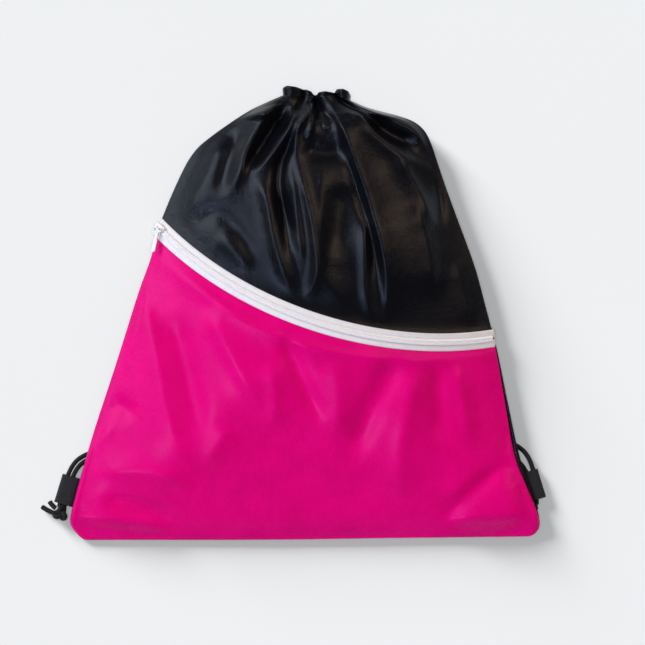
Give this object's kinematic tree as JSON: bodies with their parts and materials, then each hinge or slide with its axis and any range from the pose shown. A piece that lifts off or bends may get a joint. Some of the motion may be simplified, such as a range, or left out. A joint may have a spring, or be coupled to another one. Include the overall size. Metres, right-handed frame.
{
  "type": "drawstring backpack",
  "caption": "Cinched drawstring backpack with a zipped front pocket across its lower part, and cord straps through webbing loops at the bottom corners.",
  "frame": {"origin": "under the middle of the bag, without its cords, on the surface that it lies on", "axes": "+X to the bag's right as it is seen from the front, +Y towards the gathered neck, +Z out of the front"},
  "size_m": [0.3842, 0.3436, 0.0444],
  "materials": {
    "bag_cloth": "coated plain-weave polyester, black, slightly glossy",
    "pocket_cloth": "coated plain-weave polyester, hot pink, slightly glossy",
    "zip_tape": "woven polyester tape, white",
    "zip_coil": "coiled nylon monofilament, white",
    "zip_slider": "white enamel on die-cast metal",
    "webbing": "twill-woven polypropylene webbing, black",
    "drawcord": "braided polyester cord, black",
    "thread": "sewing thread, black"
  },
  "bodies": {
    "bag": {"back_panel": "bag_cloth", "channel_mouth_left": "bag_cloth", "channel_mouth_right": "bag_cloth", "cord_ends_left": "drawcord", "cord_ends_right": "drawcord", "drawcord_left_in_channel": "drawcord", "drawcord_left_inner_strand": "drawcord", "drawcord_left_outer_strand": "drawcord", "drawcord_right_in_channel": "drawcord", "drawcord_right_inner_strand": "drawcord", "drawcord_right_outer_strand": "drawcord", "front_upper_panel": "bag_cloth", "hem_channel_back": "bag_cloth", "hem_channel_front": "bag_cloth", "knot_left": "drawcord", "knot_right": "drawcord", "loop_stitching_left": "thread", "loop_stitching_right": "thread", "pocket_lining": "bag_cloth", "pocket_panel": "pocket_cloth", "webbing_loop_left": "webbing", "webbing_loop_right": "webbing", "zipper_coil_lower": "zip_coil", "zipper_coil_upper": "zip_coil", "zipper_tape_lower": "zip_tape", "zipper_tape_upper": "zip_tape"},
    "slider": {"zipper_slider": "zip_slider"},
    "pull": {"zipper_pull_tab": "zip_slider"}
  },
  "joints": [
    {"name": "zip_travel", "type": "hinge", "parent": "bag", "child": "slider", "pos_m": [0.0597, 0.1454, -0.11802], "axis": [0.2248, 0.6753, 0.7024], "range_deg": [0, 70]},
    {"name": "pull_flip", "type": "hinge", "parent": "slider", "child": "pull", "pos_m": [-0.10742, 0.06531, 0.01574], "axis": [-0.8988, 0.1018, -0.4264], "range_deg": [0, 150]}
  ]
}
